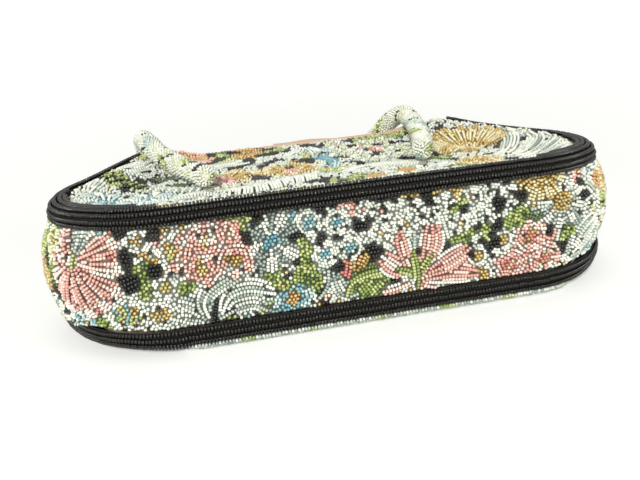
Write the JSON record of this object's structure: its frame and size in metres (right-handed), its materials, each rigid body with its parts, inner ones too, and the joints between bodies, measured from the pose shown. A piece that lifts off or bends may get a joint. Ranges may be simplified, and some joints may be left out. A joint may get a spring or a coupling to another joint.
{
  "type": "beaded handbag",
  "caption": "Small stiffened handbag with bead-covered panels and gusset, dark bead trims, a zip across its mouth and a pair of rope handles; it lies on its back panel.",
  "frame": {"origin": "centre of the flat stretch of the back panel that the bag lies on, midway between base and mouth", "axes": "+X along the base, to the right seen from the base; +Y from the base to the mouth; +Z through the bag from its back panel to its front panel"},
  "size_m": [0.259, 0.2437, 0.0725],
  "materials": {
    "beaded_cloth": "cloth closely sewn with pale glass seed beads in a mixed floral pattern",
    "black_beads": "rows of gloss black glass seed beads",
    "handle_beads": "sleeve of pale glass seed beads wound in rings",
    "buckram": "stiffened woven cotton",
    "board": "grey-brown pressed board",
    "satin": "tan satin",
    "zip_tape": "tan woven tape",
    "brass": "polished",
    "thread": "wound beading thread",
    "cotton_cord": "soft cotton cord"
  },
  "bodies": {
    "bag": {"front_panel": "beaded_cloth", "back_panel": "beaded_cloth", "gusset_band": "beaded_cloth", "front_trim": "black_beads", "back_trim": "black_beads", "front_trim_left_end": "black_beads", "front_trim_right_end": "black_beads", "back_trim_left_end": "black_beads", "back_trim_right_end": "black_beads", "front_stiffener": "buckram", "back_stiffener": "buckram", "base_board": "board", "left_side_stiffener": "buckram", "right_side_stiffener": "buckram", "front_lining": "satin", "back_lining": "satin", "gusset_lining": "satin", "inner_pocket": "satin", "front_mouth_hem": "satin", "back_mouth_hem": "satin", "left_side_hem": "satin", "right_side_hem": "satin", "front_zip_tape": "zip_tape", "back_zip_tape": "zip_tape", "front_zip_teeth": "brass", "back_zip_teeth": "brass", "zip_bottom_stop": "brass", "front_zip_top_stop": "brass", "back_zip_top_stop": "brass", "front_handle_left_shank": "thread", "front_handle_right_shank": "thread", "back_handle_left_shank": "thread", "back_handle_right_shank": "thread"},
    "zip_runner": {"zip_slider": "brass", "zip_slider_bail": "brass"},
    "pull_tab": {"zip_pull": "brass"},
    "front_rope_handle": {"front_handle": "handle_beads", "front_handle_cord": "cotton_cord"},
    "back_rope_handle": {"back_handle": "handle_beads", "back_handle_cord": "cotton_cord"}
  },
  "joints": [
    {"name": "front_handle_swing", "type": "hinge", "parent": "bag", "child": "front_rope_handle", "pos_m": [-0.005, -0.014, 0.06139], "axis": [1, 0, 0], "range_deg": [0, 150]},
    {"name": "back_handle_swing", "type": "hinge", "parent": "bag", "child": "back_rope_handle", "pos_m": [0, -0.014, 0.0058], "axis": [-1, 0, 0], "range_deg": [0, 135]},
    {"name": "zip_slide", "type": "slide", "parent": "bag", "child": "zip_runner", "axis": [-1, 0, 0], "range_m": [0, 0.114]},
    {"name": "zip_pull_swing", "type": "hinge", "parent": "zip_runner", "child": "pull_tab", "pos_m": [0.056, 0.0641, 0.03404], "axis": [0, 0, -1], "range_deg": [0, 175]}
  ]
}
